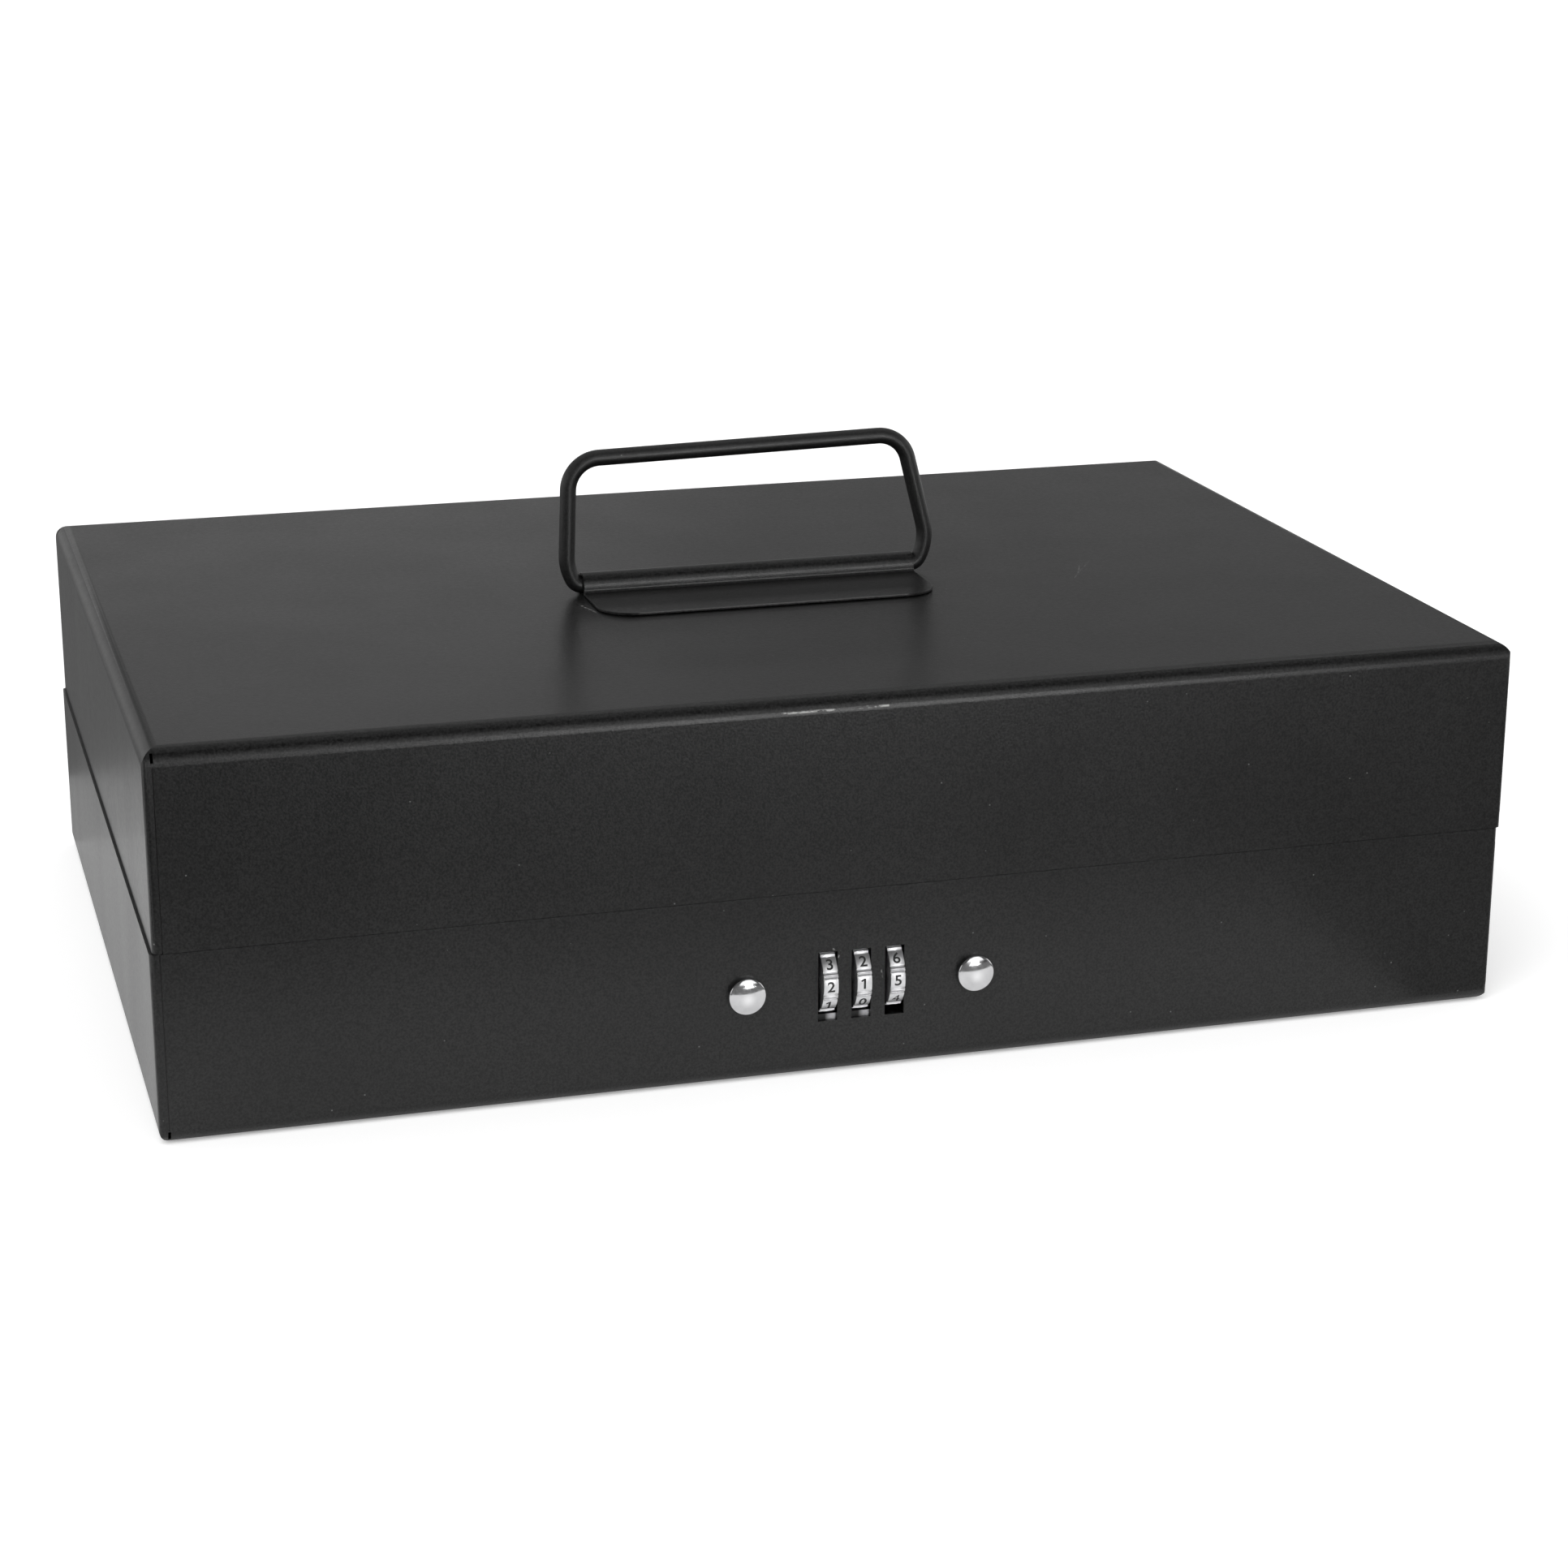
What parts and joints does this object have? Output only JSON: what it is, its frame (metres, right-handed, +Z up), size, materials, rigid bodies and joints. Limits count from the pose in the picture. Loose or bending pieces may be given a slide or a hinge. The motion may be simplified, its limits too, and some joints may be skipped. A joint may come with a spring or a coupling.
{
  "type": "medication lock box",
  "caption": "Black folded-steel medication lock box with a hinged overlapping lid, a swinging wire carrying handle and a dial combination lock in the front wall.",
  "frame": {"origin": "middle of the underside of the base", "axes": "+Z up, +X to the right as seen from the front, the front with the dials facing -Y"},
  "size_m": [0.3607, 0.2534, 0.1436],
  "materials": {
    "black_powder_coat": "semi-matt black powder coat",
    "black_painted_wire": "satin black paint on wire",
    "chrome_plate": "bright chrome plate",
    "zinc_plate": "zinc-plated steel",
    "spring_steel": "plain spring steel"
  },
  "bodies": {
    "base": {"base_tray": "black_powder_coat", "lock_case": "zinc_plate", "dial_axle": "zinc_plate", "detent_spring": "spring_steel", "tumbler_spring": "spring_steel", "latch_spring": "spring_steel", "bolt_guide_left": "zinc_plate", "bolt_guide_right": "zinc_plate", "lock_rivet_left": "chrome_plate", "lock_rivet_right": "chrome_plate", "hinge_base_leaf_left": "black_powder_coat", "hinge_base_leaf_right": "black_powder_coat", "hinge_pin_left": "zinc_plate", "hinge_pin_right": "zinc_plate"},
    "lid": {"lid_cover": "black_powder_coat", "handle_saddle": "black_powder_coat", "hinge_lid_leaf_left": "black_powder_coat", "hinge_lid_leaf_right": "black_powder_coat", "lid_catch": "zinc_plate"},
    "handle": {"handle_bail": "black_painted_wire"},
    "dial_1": {"dial_1": "chrome_plate"},
    "dial_2": {"dial_2": "chrome_plate"},
    "dial_3": {"dial_3": "chrome_plate"},
    "bolt": {"latch_bolt": "zinc_plate"},
    "slide": {"code_slide": "zinc_plate", "tumbler_1": "zinc_plate", "tumbler_2": "zinc_plate", "tumbler_3": "zinc_plate"}
  },
  "joints": [
    {"name": "lid_hinge", "type": "hinge", "parent": "base", "child": "lid", "pos_m": [0, 0.12525, 0.05], "axis": [-1, 0, 0], "range_deg": [0, 100]},
    {"name": "handle_swing", "type": "hinge", "parent": "lid", "child": "handle", "pos_m": [0, -0.0042, 0.10375], "axis": [1, 0, 0], "range_deg": [-90, 87]},
    {"name": "dial_1_turn", "type": "hinge", "parent": "base", "child": "dial_1", "pos_m": [-0.009, -0.1162, 0.0248], "axis": [1, 0, 0], "continuous": true},
    {"name": "dial_2_turn", "type": "hinge", "parent": "base", "child": "dial_2", "pos_m": [0, -0.1162, 0.0248], "axis": [1, 0, 0], "continuous": true},
    {"name": "dial_3_turn", "type": "hinge", "parent": "base", "child": "dial_3", "pos_m": [0.009, -0.1162, 0.0248], "axis": [1, 0, 0], "continuous": true},
    {"name": "bolt_travel", "type": "slide", "parent": "base", "child": "bolt", "axis": [0, 1, 0], "range_m": [0, 0.002], "deforming": ["latch_spring"]},
    {"name": "code_slide_travel", "type": "slide", "parent": "base", "child": "slide", "axis": [-1, 0, 0], "range_m": [0, 0.0022], "deforming": ["tumbler_spring"]}
  ]
}
